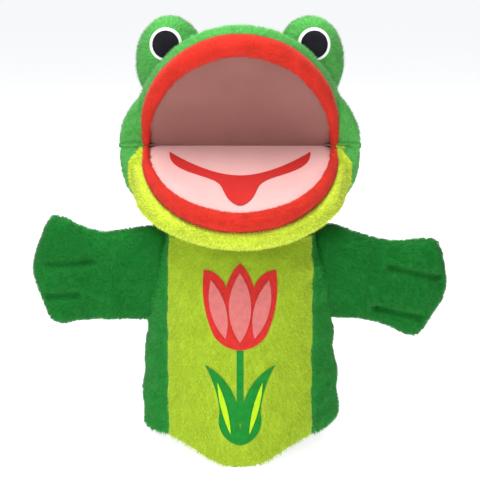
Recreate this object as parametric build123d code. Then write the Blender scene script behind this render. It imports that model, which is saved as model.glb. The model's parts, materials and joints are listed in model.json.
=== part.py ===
"""Frog hand puppet with a moving mouth: every sewn piece as its own closed solid, in millimetres.

The puppet faces -Y, +Z is up, and the origin is the centre of the sleeve's hem, on the plane it stands on.
Left and right are the puppet's own, so its left is +X. The mouth is modelled wide open.
"""

import math
import os

from build123d import *

os.makedirs("parts", exist_ok=True)

# ---- Driving dimensions -------------------------------------------------------------------------
PLUSH = 3.0                  # backing and pile of the plush
LINING = 1.0                 # thin woven lining
GAP = 0.3                    # air between stacked layers of one body
FILM = 0.5                   # printed artwork film
FILM_GAP = 0.05              # under each film

# Sleeve: (height, half width, half depth) of its oval sections
SLEEVE_SECTIONS = [(0, 53.5, 52.0), (22, 55.5, 49.0), (60, 52.5, 43.0), (92, 50.5, 36.5), (116, 47.5, 29.0)]
NECKLINE_HEIGHT = 111.0      # height of the neckline at the side seams
NECKLINE_SLOPE = 5.0         # degrees: the neckline drops towards the front
BELLY_HALF_WIDTH = 40.0
LINING_SHORT_TOP, LINING_SHORT_HEM = 2.0, 1.0    # how far the lining stops short of the plush
HEM_DEPTH, HEM_THICKNESS = 14.0, 1.5

# Neck band, which turns on the sleeve
NECK_HALF_WIDTH, NECK_HALF_DEPTH = 43.0, 26.5
NECK_BOTTOM, NECK_TOP = 114.0, 118.5
NECK_WALL = 2.0

# Back of the head: half width, half depth, and half heights above and below its widest point
SKULL_CENTRE = (0.0, 3.0, 162.0)
SKULL_HALF_WIDTH, SKULL_HALF_DEPTH = 68.0, 45.0
SKULL_UP, SKULL_DOWN = 48.0, 66.0
SKULL_BOTTOM = 124.0
PADDING, PADDING_RISE = 5.0, 4.0      # its thickness, and how far it starts above the panel's lower edge
THROAT_FRONT = (-41.0, 110.5)         # (y, z) of the line under the chin
THROAT_BACK = (7.0, 155.0)
SIDE_CLEARANCE = 0.5                  # degrees between the snout's rear edge and the head

# Mouth: the palate is an oval folded across its middle, and the fold is the hinge of both jaws
FOLD_Y, FOLD_Z = 5.0, 165.3
UPPER_OPEN, LOWER_OPEN = 56.0, 26.0   # degrees above and below the horizontal
PALATE_HALF_WIDTH, PALATE_LENGTH = 49.0, 60.0
PALATE_CLOTH, PALATE_RISE = 1.1, 0.4  # the cloth's thickness, and how far it lies from the jaw's plane
PALATE_MARGIN, BOARD_MARGIN = 1.2, 4.0
BOARD, BOARD_SETBACK = 2.0, 1.5
FOLD_RADIUS, FOLD_CLEARANCE = 1.2, 0.5
SNOUT_SIZE = (60.0, 74.0, 44.0)       # half width, length and height of the upper jaw
CHIN_SIZE = (69.0, 76.0, 42.0)
SNOUT_BACK_ANGLE = 62.5               # where the snout panel ends, above the palate
LIP_RADIUS, LIP_END_RADIUS = 5.3, 3.2
LIP_SKIN, LIP_END_SKIN = 1.8, 1.4
LIP_RISE = 0.3                        # how far the lip lies from the jaw's plane
LIP_OUT = 4.0                         # from the palate's edge to the middle of the lip
FINGER_POCKET = (44.0, 53.0, 20.0)    # half width, length and height
THUMB_POCKET = (20.0, 48.0, 11.0)
POCKET_MOUTH, SNOUT_FILL_MOUTH, CHIN_FILL_MOUTH = 4.0, 6.0, 12.0    # distances in front of the fold
CHIN_CLEARANCE = 1.2                  # above the throat line
SLANTED_WALL = 1.3 * PLUSH            # the chin panel's thickness measured straight up
THROAT_SETBACK = 3.0                  # between the chin panel's rear edge and the throat line's end

# Eye mounds
EYE_MOUND_CENTRE = (38.5, 14.0, 211.0)
EYE_MOUND_SIZE = (19.0, 15.5, 24.5)
EYE_CENTRE = (40.3, 221.0)            # x and z
EYE_WHITE_RADIUS, EYE_PUPIL_RADIUS = 8.9, 7.0
EYE_SKIN, EYE_THREAD = 2.2, 0.8

# Arms: (distance from the middle, half height, half depth)
ARM_SECTIONS = [(58.6, 25.0, 1.6), (63.5, 24.5, 7.0), (71.0, 23.5, 10.0), (78.0, 24.0, 8.0), (83.5, 25.5, 2.2)]
ARM_HEIGHT = {"left": 90.5, "right": 91.5}
ARM_DROOP = {"left": 7.5, "right": -1.0}         # degrees
ARM_SKIN, ARM_END_SKIN = 2.0, 0.7
SHOULDER_X, WRIST_X = 57.0, 84.8
SEAM_RADIUS = 0.7
PAW_START, PAW_TIP = 86.1, 116.5
WRIST_HALF_HEIGHT = 25.5
PAW_TOP = {"left": 28.5, "right": 33.0}          # above the arm's middle line
PAW_BOTTOM = -28.0
PAW_HALF_DEPTH = 9.5
PAW_THICKNESS = [(0.0, 0.22), (5.0, 0.72), (13.0, 1.0), (24.4, 0.72), (30.4, 0.2)]    # (from its start, share)
PAW_CROWN_HEIGHT, PAW_CROWN_MIDDLE = 44.0, 2.0   # half height and middle of the ovals that round its two faces
TOE_MARK_MIDDLES = (8.5, -9.5)
TOE_MARK_HALF_WIDTH, TOE_MARK_LENGTH = 4.8, 20.0
TOE_MARK_END = PAW_TIP - 9.0

FAR = 200.0                           # larger than the puppet


# ---- Helpers ------------------------------------------------------------------------------------
def save(name, shape):
    """Writes one named piece."""
    solids = shape.solids()
    assert solids, name
    export_step(solids[0] if len(solids) == 1 else Compound(children=solids), f"parts/{name}.step")


def ellipsoid(half_x, half_y, half_z):
    return scale(Sphere(1), by=(half_x, half_y, half_z))


def profile(points):
    """A slab across the puppet whose side view is the given (y, z) outline."""
    outline = make_face(Polyline(*[(0, y, z) for y, z in points], close=True))
    return extrude(outline, amount=FAR, dir=(1, 0, 0), both=True)


def above(height):
    return Pos(0, 0, height + FAR) * Box(2 * FAR, 2 * FAR, 2 * FAR)


def below(height):
    return Pos(0, 0, height - FAR) * Box(2 * FAR, 2 * FAR, 2 * FAR)


def in_front(y):
    return Pos(0, y - FAR, 0) * Box(2 * FAR, 2 * FAR, 2 * FAR)


def behind(y):
    return Pos(0, y + FAR, 0) * Box(2 * FAR, 2 * FAR, 2 * FAR)


def arc_face(*arcs):
    """A flat face in the XZ plane bounded by three-point arcs or lines, each given by its (x, z) points."""
    edges = []
    for points in arcs:
        places = [(x, 0, z) for x, z in points]
        edges.append(Line(*places) if len(places) == 2 else ThreePointArc(*places))
    return make_face(Curve() + edges)


def through(face):
    """The face drawn right through the puppet, front to back."""
    return extrude(face, amount=FAR, dir=(0, 1, 0), both=True)


# ---- Sleeve -------------------------------------------------------------------------------------
def sleeve_body(inset):
    """The sleeve's outer form, drawn in by inset."""
    return loft([Pos(0, 0, z) * Ellipse(a - inset, b - inset) for z, a, b in SLEEVE_SECTIONS])


def below_neckline(drop=0.0):
    slab = Box(2 * FAR, 2 * FAR, 2 * FAR)
    return Pos(0, 0, NECKLINE_HEIGHT - drop) * Rot(NECKLINE_SLOPE, 0, 0) * Pos(0, 0, -FAR) * slab


def sleeve_shell(outer, inner):
    return (sleeve_body(outer) - sleeve_body(inner)) & below_neckline()


def sleeve_panels():
    shell = sleeve_shell(0, PLUSH)
    front = shell & in_front(0)
    belly_zone = Box(2 * BELLY_HALF_WIDTH, 2 * FAR, 2 * FAR)
    save("belly_panel", front & belly_zone)
    sides = front - belly_zone
    save("left_side_panel", sides & (Pos(FAR, 0, 0) * Box(2 * FAR, 2 * FAR, 2 * FAR)))
    save("right_side_panel", sides & (Pos(-FAR, 0, 0) * Box(2 * FAR, 2 * FAR, 2 * FAR)))
    save("back_panel", shell & behind(0))


def sleeve_inside():
    lining = sleeve_shell(PLUSH + GAP, PLUSH + GAP + LINING)
    save("sleeve_lining", lining & below_neckline(LINING_SHORT_TOP) & above(LINING_SHORT_HEM))
    start = PLUSH + 2 * GAP + LINING
    save("hem_facing", sleeve_shell(start, start + HEM_THICKNESS) & below(HEM_DEPTH))


def sleeve_film(level=0):
    """The layer that artwork is printed in; level 1 lies on top of level 0."""
    start = FILM_GAP + level * (FILM + FILM_GAP)
    return sleeve_shell(-start - FILM, -start)


# ---- Artwork ------------------------------------------------------------------------------------
FLOWER_TOP, FLOWER_BOTTOM = 107.0, 61.5
FLOWER_HALF_WIDTH = 19.5
STEM_HALF_WIDTH = 1.8
LEAF_TOP, LEAF_BOTTOM = 52.5, 10.0
HORSESHOE_TOP, HORSESHOE_BOTTOM = 102.0, 21.0


def petal(tip, foot, bulge, x_tip, x_foot):
    """A pointed petal between its tip and foot, bulging by bulge to each side."""
    x_mid, z_mid = (x_tip + x_foot) / 2, (tip + foot) / 2
    return arc_face(
        ((x_foot, foot), (x_mid - bulge, z_mid), (x_tip, tip)),
        ((x_tip, tip), (x_mid + bulge, z_mid), (x_foot, foot)),
    )


def flower_faces():
    """The tulip's red ground, and the paler insides of its three petals."""
    w, top, bottom = FLOWER_HALF_WIDTH, FLOWER_TOP, FLOWER_BOTTOM
    cup = arc_face(
        ((-w, top - 4), (-w * 0.98, bottom + 22), (-w * 0.72, bottom + 7)),
        ((-w * 0.72, bottom + 7), (0, bottom), (w * 0.72, bottom + 7)),
        ((w * 0.72, bottom + 7), (w * 0.98, bottom + 22), (w, top - 4)),
        ((w, top - 4), (w * 0.55, top - 7.5), (w * 0.38, top - 13)),
        ((w * 0.38, top - 13), (w * 0.2, top - 4.5), (0, top)),
        ((0, top), (-w * 0.2, top - 4.5), (-w * 0.38, top - 13)),
        ((-w * 0.38, top - 13), (-w * 0.55, top - 7.5), (-w, top - 4)),
    )
    middle = petal(top - 5, bottom + 4, 6.0, 0, 0)
    side = petal(top - 9, bottom + 6, 4.4, w * 0.80, w * 0.40)
    return cup, [middle, side, mirror(side, about=Plane.YZ)]


def leaf_faces():
    """The stem, its two leaves, and the pale vein of each leaf."""
    top, bottom = LEAF_TOP, LEAF_BOTTOM
    stem_top, stem_foot = FLOWER_BOTTOM - 2 * GAP, bottom + 12
    w = STEM_HALF_WIDTH
    stem_corners = [(-w, stem_foot), (-w, stem_top), (w, stem_top), (w, stem_foot), (-w, stem_foot)]
    stem = arc_face(*zip(stem_corners, stem_corners[1:]))
    leaf = arc_face(
        ((0, bottom), (8.8, bottom + 5), (11.0, bottom + 17)),
        ((11.0, bottom + 17), (13.5, top - 12), (19.0, top)),
        ((19.0, top), (6.5, top - 10), (1.0, bottom + 14)),
        ((1.0, bottom + 14), (0.0, bottom + 7), (0, bottom)),
    )
    vein = petal(top - 8.5, bottom + 6, 1.6, 12.2, 5.0)
    leaves = stem + leaf + mirror(leaf, about=Plane.YZ)
    return leaves, [vein, mirror(vein, about=Plane.YZ)]


def crescent(x, z_low, z_high, outer, inner):
    """A tapered stripe bowed outwards: outer and inner are how far its two edges bow at mid height."""
    z_mid = (z_low + z_high) / 2
    return arc_face(
        ((x, z_low), (x + outer, z_mid), (x, z_high)),
        ((x, z_high), (x + inner, z_mid), (x, z_low)),
    )


def horseshoe_face():
    """The U between the back's two crescents, thickest at its foot."""
    top, bottom = HORSESHOE_TOP, HORSESHOE_BOTTOM
    return arc_face(
        ((9.0, top), (20.0, bottom + 43), (13.0, bottom + 11)),
        ((13.0, bottom + 11), (0, bottom), (-13.0, bottom + 11)),
        ((-13.0, bottom + 11), (-20.0, bottom + 43), (-9.0, top)),
        ((-9.0, top), (-16.0, bottom + 45), (-9.0, bottom + 23)),
        ((-9.0, bottom + 23), (0, bottom + 17), (9.0, bottom + 23)),
        ((9.0, bottom + 23), (16.0, bottom + 45), (9.0, top)),
    )


def both_sides(face):
    return [face, mirror(face, about=Plane.YZ)]


def cut_films(faces, film, side):
    """The parts of a film layer that lie behind the given faces, on one side of the puppet."""
    half = in_front(0) if side == "front" else behind(0)
    layer = film & half
    pieces = [layer & through(face) for face in faces]
    return Compound(children=[solid for piece in pieces for solid in piece.solids()])


def sleeve_artwork():
    cup, petals = flower_faces()
    leaves, veins = leaf_faces()
    ground, top_layer = sleeve_film(0), sleeve_film(1)
    save("flower_print", cut_films([cup], ground, "front"))
    save("petal_print", cut_films(petals, top_layer, "front"))
    save("stem_print", cut_films([leaves], ground, "front"))
    save("leaf_vein_print", cut_films(veins, top_layer, "front"))
    stripes = both_sides(crescent(25.0, 25.0, 101.0, 15.0, 9.5))
    save("back_stripe_prints", cut_films(stripes + [horseshoe_face()], ground, "back"))


# ---- Neck ---------------------------------------------------------------------------------------
def neck_band():
    outside = Ellipse(NECK_HALF_WIDTH, NECK_HALF_DEPTH)
    ring = outside - Ellipse(NECK_HALF_WIDTH - NECK_WALL, NECK_HALF_DEPTH - NECK_WALL)
    save("neck_band", extrude(Pos(0, 0, NECK_BOTTOM) * ring, amount=NECK_TOP - NECK_BOTTOM))


# ---- Back of the head ---------------------------------------------------------------------------
def fold_point(angle, distance):
    """The (y, z) place at that angle above the forward horizontal, seen from the mouth fold."""
    a = math.radians(angle)
    return FOLD_Y - distance * math.cos(a), FOLD_Z + distance * math.sin(a)


def skull_zone():
    """Everything behind the snout and below the chin, seen from the side."""
    top = fold_point(UPPER_OPEN + SNOUT_BACK_ANGLE + SIDE_CLEARANCE, FAR)
    front, back = THROAT_FRONT, THROAT_BACK
    return profile([(FOLD_Y, FOLD_Z), top, (FAR, FAR), (FAR, 0), (front[0], 0), front, back])


def skull_body(inset):
    centre = Pos(*SKULL_CENTRE)
    wide, deep = SKULL_HALF_WIDTH - inset, SKULL_HALF_DEPTH - inset
    upper = (centre * ellipsoid(wide, deep, SKULL_UP - inset)) & above(SKULL_CENTRE[2])
    lower = (centre * ellipsoid(wide, deep, SKULL_DOWN - inset)) & below(SKULL_CENTRE[2])
    return upper + lower


def skull_shell(outer, inner):
    return (skull_body(outer) - skull_body(inner)) & above(SKULL_BOTTOM) & skull_zone()


def head_marks():
    """A crescent on each side of the head's back, and a thin spike beside each at mid height."""
    foot, low, high = 8.0, 131.0, 194.0
    edge, half, tip, blunt = 20.2, 6.0, 38.0, 0.4
    middle = (low + high) / 2
    spike = arc_face(
        ((edge, middle - half), (edge + 4, middle - 2.0), (tip, middle - blunt)),
        ((tip, middle - blunt), (tip, middle + blunt)),
        ((tip, middle + blunt), (edge + 4, middle + 2.0), (edge, middle + half)),
        ((edge, middle + half), (edge, middle - half)),
    )
    return both_sides(crescent(foot, low, high, 12.0, 7.4)) + both_sides(spike)


def head_back():
    save("head_back_panel", skull_shell(0, PLUSH))
    inner = PLUSH + GAP
    save("head_back_padding", skull_shell(inner, inner + PADDING) & above(SKULL_BOTTOM + PADDING_RISE))
    film = skull_shell(-FILM_GAP - FILM, -FILM_GAP)
    save("head_stripe_prints", cut_films(head_marks(), film, "back"))
    rod = Rot(0, 90, 0) * Cylinder(FOLD_RADIUS, 2 * PALATE_HALF_WIDTH)
    save("palate_fold_strip", Pos(0, FOLD_Y, FOLD_Z) * rod)


def eye_mounds():
    """The two stuffed mounds that carry the eyes, each with its filling and its two embroidered discs."""
    half_x, half_y, half_z = EYE_MOUND_SIZE
    centre = Pos(*EYE_MOUND_CENTRE)
    keep_off = skull_body(-GAP) + upper_jaw_place(jaw_dome(SNOUT_SIZE, -GAP))
    keep_off = keep_off + upper_jaw_place(roll(LIP_RADIUS + GAP, LIP_END_RADIUS + GAP))

    def mound(grow):
        return (centre * ellipsoid(half_x + grow, half_y + grow, half_z + grow)) - keep_off

    x, z = EYE_CENTRE
    sight = Pos(x, EYE_MOUND_CENTRE[1] - FAR / 2, z) * Rot(90, 0, 0)
    white_tool = sight * Cylinder(EYE_WHITE_RADIUS, FAR)
    pupil_tool = sight * Cylinder(EYE_PUPIL_RADIUS, FAR)
    white_top = FILM_GAP + EYE_THREAD
    pupil_top = white_top + FILM_GAP + EYE_THREAD
    pieces = {
        "eye_mound": mound(0) - mound(-EYE_SKIN),
        "eye_filling": mound(-EYE_SKIN - GAP),
        "eye_white": (mound(white_top) - mound(FILM_GAP)) & white_tool,
        "eye_pupil": (mound(pupil_top) - mound(white_top + FILM_GAP)) & pupil_tool,
    }
    for name, shape in pieces.items():
        save(f"left_{name}", shape)
        save(f"right_{name}", mirror(shape, about=Plane.YZ))


# ---- Jaws, built closed and level with the fold as the X axis ----------------------------------
def upper_jaw_place(shape):
    return Pos(0, FOLD_Y, FOLD_Z) * Rot(-UPPER_OPEN, 0, 0) * shape


def lower_jaw_place(shape):
    return Pos(0, FOLD_Y, FOLD_Z) * Rot(LOWER_OPEN, 0, 0) * mirror(shape, about=Plane.XY)


def jaw_dome(size, inset):
    return ellipsoid(size[0] - inset, size[1] - inset, size[2] - inset)


def lip_station(angle):
    """A plane across the lip at that angle round from its left end."""
    a = math.radians(angle)
    half_width, length = PALATE_HALF_WIDTH + LIP_OUT, PALATE_LENGTH + LIP_OUT
    along = Vector(-half_width * math.sin(a), -length * math.cos(a), 0)
    radius_share = math.sin(a) ** 0.8
    return Vector(half_width * math.cos(a), -length * math.sin(a), 0), along, radius_share


def roll(mid_radius, end_radius):
    """The padded roll round the palate's edge, thickest in the middle. It rests on the palate's plane."""
    rings = []
    for angle in (4, 20, 45, 68, 90, 112, 135, 160, 176):
        place, along, share = lip_station(angle)
        radius = end_radius + (mid_radius - end_radius) * share
        outer = LIP_END_RADIUS + (LIP_RADIUS - LIP_END_RADIUS) * share
        origin = place + Vector(0, 0, outer + LIP_RISE)
        rings.append(Plane(origin=origin, z_dir=along, x_dir=(0, 0, 1)) * Circle(radius))
    return loft(rings)


def half_oval(half_width, length, thickness, bottom, start):
    """A half oval plate in front of the fold."""
    plate = extrude(Ellipse(half_width, length), amount=thickness)
    return (Pos(0, 0, bottom) * plate) & in_front(-start)


def pocket(size, bottom):
    """A thin dome of cloth on the board, open towards the hand."""
    shell = jaw_dome(size, 0) - jaw_dome(size, LINING)
    return (Pos(0, 0, bottom) * shell) & above(bottom) & in_front(-POCKET_MOUTH)


LIP_ZONE = 2 * LIP_RADIUS + 0.8       # the jaw panels start above the lip


def jaw_common(prefix, place):
    """The layers that both jaws share: the lip and its cord, the palate cloth and its board."""
    hollow = LIP_RADIUS - LIP_SKIN, LIP_END_RADIUS - LIP_END_SKIN
    save(f"{prefix}_lip", place(roll(LIP_RADIUS, LIP_END_RADIUS) - roll(*hollow)))
    save(f"{prefix}_lip_cord", place(roll(hollow[0] - GAP, hollow[1] - GAP)))
    start = FOLD_RADIUS + FOLD_CLEARANCE
    wide, long = PALATE_HALF_WIDTH - PALATE_MARGIN, PALATE_LENGTH - PALATE_MARGIN
    save(f"{prefix}_palate_lining", place(half_oval(wide, long, PALATE_CLOTH, PALATE_RISE, start)))
    bottom = PALATE_RISE + PALATE_CLOTH + GAP
    wide, long = PALATE_HALF_WIDTH - BOARD_MARGIN, PALATE_LENGTH - BOARD_MARGIN
    save(f"{prefix}_palate_board", place(half_oval(wide, long, BOARD, bottom, start + BOARD_SETBACK)))
    return bottom + BOARD + GAP


def snout_zone():
    """The wedge of the closed, level upper jaw between its lip and the snout's rear edge."""
    a = math.radians(SNOUT_BACK_ANGLE)
    reach = (-FAR * math.cos(a), FAR * math.sin(a))
    return profile([(0, 0), (-FAR, 0), (-FAR, FAR), reach]) & above(LIP_ZONE)


def upper_jaw():
    base = jaw_common("upper", upper_jaw_place)
    zone = snout_zone()
    panel = (jaw_dome(SNOUT_SIZE, 0) - jaw_dome(SNOUT_SIZE, PLUSH)) & zone
    save("snout_panel", upper_jaw_place(panel))
    save("finger_pocket", upper_jaw_place(pocket(FINGER_POCKET, base)))
    room = Pos(0, 0, base) * jaw_dome(FINGER_POCKET, -GAP)
    filling = (jaw_dome(SNOUT_SIZE, PLUSH + GAP) - room) & zone & above(LIP_ZONE + 1)
    save("snout_filling", upper_jaw_place(filling & in_front(-SNOUT_FILL_MOUTH)))


def chin_zone(lift):
    """Everything higher than lift above the throat line, in place."""
    front, back = THROAT_FRONT, THROAT_BACK
    rear = back[0] - THROAT_SETBACK
    return profile([
        (rear, back[1] + lift),
        (front[0], front[1] + lift),
        (-FAR, front[1] + lift),
        (-FAR, FAR + FOLD_Z),
        (rear, FAR + FOLD_Z),
    ])


def tongue_face():
    """The printed tongue, drawn on the level palate: a thin bow with a rounded drop hanging from its middle."""
    tip = (39.0, -6.0)
    bow = [tip, (24.0, -19.0), (0, -28.5)]
    drop = [tip, (24.0, -27.0), (11.0, -36.0), (7.0, -47.0), (0, -54.5)]

    def there_and_back(points):
        return points + [(-x, y) for x, y in reversed(points[:-1])]

    return make_face(Curve() + [Spline(*there_and_back(bow)), Spline(*there_and_back(drop))])


def lower_jaw():
    base = jaw_common("lower", lower_jaw_place)
    dome, hollow = jaw_dome(CHIN_SIZE, 0), jaw_dome(CHIN_SIZE, PLUSH)
    outside = lower_jaw_place(dome & above(LIP_ZONE)) & chin_zone(CHIN_CLEARANCE)
    inside = lower_jaw_place(hollow) & chin_zone(CHIN_CLEARANCE + SLANTED_WALL)
    room = Pos(0, 0, base) * jaw_dome(THUMB_POCKET, -GAP)
    save("chin_panel", outside - inside - lower_jaw_place(room))
    save("thumb_pocket", lower_jaw_place(pocket(THUMB_POCKET, base)))
    filling = (jaw_dome(CHIN_SIZE, PLUSH + GAP) - room) & above(LIP_ZONE + 1) & in_front(-CHIN_FILL_MOUTH)
    save("chin_filling", lower_jaw_place(filling) & chin_zone(CHIN_CLEARANCE + SLANTED_WALL + GAP))
    film = extrude(tongue_face(), amount=FILM / 2)
    save("tongue_print", lower_jaw_place(Pos(0, 0, 2 * FILM_GAP) * film))


# ---- Arms and paws ------------------------------------------------------------------------------
def arm_solid(inset):
    """The arm's outer form between the shoulder seam and the wrist."""
    rings = []
    for index, (x, tall, deep) in enumerate(ARM_SECTIONS):
        at_end = index in (0, len(ARM_SECTIONS) - 1)
        thin = deep - (min(inset, ARM_END_SKIN) if at_end else inset)
        rings.append(Plane(origin=(x, 0, 0), z_dir=(1, 0, 0), x_dir=(0, 0, 1)) * Ellipse(tall - inset, thin))
    return loft(rings)


def paw_outline(side, inset):
    """The paw's three-toed outline, seen from the front."""
    start, tip = PAW_START + inset, PAW_TIP - inset
    top, bottom, wrist = PAW_TOP[side] - inset, PAW_BOTTOM + inset, WRIST_HALF_HEIGHT - inset
    return arc_face(
        ((start, -wrist), (start, wrist)),
        ((start, wrist), (start + 8, 0.53 * wrist + 0.47 * top), (tip - 11, top)),
        ((tip - 11, top), (tip - 7.5, 0.67 * top), (tip - 2, 8.0)),
        ((tip - 2, 8.0), (tip, 1.5), (tip - 1.5, -5.0)),
        ((tip - 1.5, -5.0), (tip - 6.5, -18.0), (tip - 12, bottom)),
        ((tip - 12, bottom), (start + 8, -wrist - 2.0), (start, -wrist)),
    )


def paw_solid(side, inset):
    """A flat pillow: the outline, thinned towards the tip and pinched at the wrist."""
    deep = PAW_HALF_DEPTH - inset
    rings = []
    for along, share in PAW_THICKNESS:
        place = Plane(origin=(PAW_START + along, 0, PAW_CROWN_MIDDLE), z_dir=(1, 0, 0), x_dir=(0, 0, 1))
        rings.append(place * Ellipse(PAW_CROWN_HEIGHT, max(deep * share, 2 * GAP)))
    return through(paw_outline(side, inset)) & loft(rings)


def arm_place(side, shape):
    """Puts a left arm piece, modelled along +X, in place on either side."""
    hinge = Pos(SHOULDER_X, 0, ARM_HEIGHT[side])
    placed = hinge * Rot(0, ARM_DROOP[side], 0) * Pos(-SHOULDER_X, 0, 0) * shape
    return placed if side == "left" else mirror(placed, about=Plane.YZ)


def toe_faces():
    """Two long pointed marks on the back of the paw, widest and notched near the toes."""
    marks = []
    for middle in TOE_MARK_MIDDLES:
        end, half = TOE_MARK_END, TOE_MARK_HALF_WIDTH
        tail, blunt = end - TOE_MARK_LENGTH, 0.08 * half
        marks.append(arc_face(
            ((tail, middle + blunt), (end - 7.0, middle + 0.40 * half), (end, middle + half)),
            ((end, middle + half), (end - 2.0, middle), (end, middle - half)),
            ((end, middle - half), (end - 7.0, middle - 0.40 * half), (tail, middle - blunt)),
            ((tail, middle - blunt), (tail, middle + blunt)),
        ))
    return marks


def arm_set(side):
    skin = arm_solid(0) - arm_solid(ARM_SKIN)
    save(f"{side}_arm_front_panel", arm_place(side, skin & in_front(0)))
    save(f"{side}_arm_back_panel", arm_place(side, skin & behind(0)))
    save(f"{side}_arm_filling", arm_place(side, arm_solid(ARM_SKIN + GAP)))
    paw = paw_solid(side, 0)
    skin = paw - paw_solid(side, ARM_SKIN)
    save(f"{side}_paw_front_panel", arm_place(side, skin & in_front(0)))
    save(f"{side}_paw_back_panel", arm_place(side, skin & behind(0)))
    save(f"{side}_paw_filling", arm_place(side, paw_solid(side, ARM_SKIN + GAP)))
    film = paw_solid(side, -FILM_GAP - FILM) - paw_solid(side, -FILM_GAP)
    save(f"{side}_toe_prints", arm_place(side, cut_films(toe_faces(), film, "back")))
    seam = Cylinder(SEAM_RADIUS, 2 * ARM_SECTIONS[0][1])
    save(f"{side}_shoulder_seam", arm_place(side, Pos(SHOULDER_X, 0, 0) * seam))


def main():
    sleeve_panels()
    sleeve_inside()
    sleeve_artwork()
    neck_band()
    head_back()
    eye_mounds()
    upper_jaw()
    lower_jaw()
    for side in ("left", "right"):
        arm_set(side)


main()
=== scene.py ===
"""The looks of a plush frog hand puppet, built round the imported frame. Metres, +Z up, the puppet faces -Y."""

import json
import math

import bpy
import numpy as np
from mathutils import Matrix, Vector
from mathutils.bvhtree import BVHTree


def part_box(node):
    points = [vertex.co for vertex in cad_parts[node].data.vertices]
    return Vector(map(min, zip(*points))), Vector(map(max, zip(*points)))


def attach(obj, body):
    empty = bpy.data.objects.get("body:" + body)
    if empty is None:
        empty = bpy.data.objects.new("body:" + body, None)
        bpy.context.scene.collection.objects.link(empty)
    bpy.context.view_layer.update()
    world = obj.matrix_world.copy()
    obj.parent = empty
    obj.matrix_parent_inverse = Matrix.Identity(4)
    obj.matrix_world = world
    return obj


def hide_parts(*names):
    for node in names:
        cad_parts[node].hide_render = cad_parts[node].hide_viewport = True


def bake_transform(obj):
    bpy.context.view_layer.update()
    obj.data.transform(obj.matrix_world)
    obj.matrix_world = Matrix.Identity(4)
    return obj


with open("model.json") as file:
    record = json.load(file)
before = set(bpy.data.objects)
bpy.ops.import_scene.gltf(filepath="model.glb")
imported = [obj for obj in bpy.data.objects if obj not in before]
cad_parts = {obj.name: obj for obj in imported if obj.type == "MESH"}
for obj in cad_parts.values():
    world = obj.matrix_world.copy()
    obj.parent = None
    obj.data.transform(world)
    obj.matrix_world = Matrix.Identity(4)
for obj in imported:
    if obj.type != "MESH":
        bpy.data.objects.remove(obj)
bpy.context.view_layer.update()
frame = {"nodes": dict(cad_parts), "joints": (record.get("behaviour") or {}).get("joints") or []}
NODES = frame["nodes"]
JOINTS = {joint["name"]: joint for joint in frame["joints"]}
RANDOM = np.random.default_rng(11)    # every random draw is seeded, so that each run gives the same pile
MM = 0.001


# ---- Materials -------------------------------------------
RAMP_SPAN = (0.3, 0.7)            # the part of a noise's range over which a cloth's colour changes
GRAIN_DEPTH = 0.6 * MM


def new_material(name):
    """A new material, with its nodes, its links and its shader."""
    material = bpy.data.materials.new(name)
    material.use_nodes = True
    nodes = material.node_tree.nodes
    return material, nodes, material.node_tree.links, nodes["Principled BSDF"]


def add_noise(nodes, links, scale, detail):
    place = nodes.new("ShaderNodeTexCoord")
    noise = nodes.new("ShaderNodeTexNoise")
    noise.inputs["Scale"].default_value = scale
    noise.inputs["Detail"].default_value = detail
    links.new(place.outputs["Object"], noise.inputs["Vector"])
    return noise


def add_ramp(nodes, links, source, low, high):
    """Colours from low to high, over the middle of the source's range."""
    ramp = nodes.new("ShaderNodeValToRGB")
    for element, position, colour in zip(ramp.color_ramp.elements, RAMP_SPAN, (low, high)):
        element.position = position
        element.color = (*colour, 1)
    links.new(source, ramp.inputs["Fac"])
    return ramp


def add_bump(nodes, links, source, shader, strength, distance):
    bump = nodes.new("ShaderNodeBump")
    bump.inputs["Strength"].default_value = strength
    bump.inputs["Distance"].default_value = distance
    links.new(source, bump.inputs["Height"])
    links.new(bump.outputs["Normal"], shader.inputs["Normal"])


def cloth_material(name, low, high, scale=90.0, fine=900.0, bump=0.35, rough=0.9, sheen=0.35):
    """Cloth whose colour wanders between low and high, with a fine raised grain."""
    material, nodes, links, shader = new_material(name)
    broad = add_noise(nodes, links, scale, 4.0)
    ramp = add_ramp(nodes, links, broad.outputs["Fac"], low, high)
    links.new(ramp.outputs["Color"], shader.inputs["Base Color"])
    grain = add_noise(nodes, links, fine, 2.0)
    add_bump(nodes, links, grain.outputs["Fac"], shader, bump, GRAIN_DEPTH)
    shader.inputs["Roughness"].default_value = rough
    shader.inputs["Specular IOR Level"].default_value = 0.25
    shader.inputs["Sheen Weight"].default_value = sheen
    shader.inputs["Sheen Roughness"].default_value = 0.5
    return material


def pile_material(name, colour):
    """One tint of a plush's pile: its texture is in its geometry."""
    material, _, _, shader = new_material(name)
    shader.inputs["Base Color"].default_value = (*colour, 1)
    shader.inputs["Roughness"].default_value = 0.8
    shader.inputs["Sheen Weight"].default_value = 0.06
    shader.inputs["Specular IOR Level"].default_value = 0.12
    return material


def shade(colour, gain):
    return tuple(min(1.0, c * gain) for c in colour)


def plush_set(name, colour, spread=0.25):
    """The cloth under a plush, darker than its pile as painted shade deep in the pile, and the three tints of
    its pile.
    """
    # the skin's darker colour is painted shade, standing in for the shade deep between the pile's spikes
    skin = cloth_material(f"{name}_plush", shade(colour, 0.6), shade(colour, 0.78), sheen=0.1)
    tints = []
    for i, gain in enumerate((1 - spread, 1.0, 1 + spread)):
        tints.append(pile_material(f"{name}_pile_{i}", shade(colour, gain)))
    return {"skin": skin, "pile": tints}


GREEN = plush_set("green", (0.090, 0.42, 0.080))
DEEP_GREEN = plush_set("deep_green", (0.005, 0.19, 0.020))
SIDE_GREEN = plush_set("side_green", (0.012, 0.27, 0.028))
LIME = plush_set("lime", (0.44, 0.62, 0.030), 0.16)
CHIN = plush_set("yellow_green", (0.62, 0.76, 0.05))
RED = plush_set("red", (0.70, 0.028, 0.013), 0.3)

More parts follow.
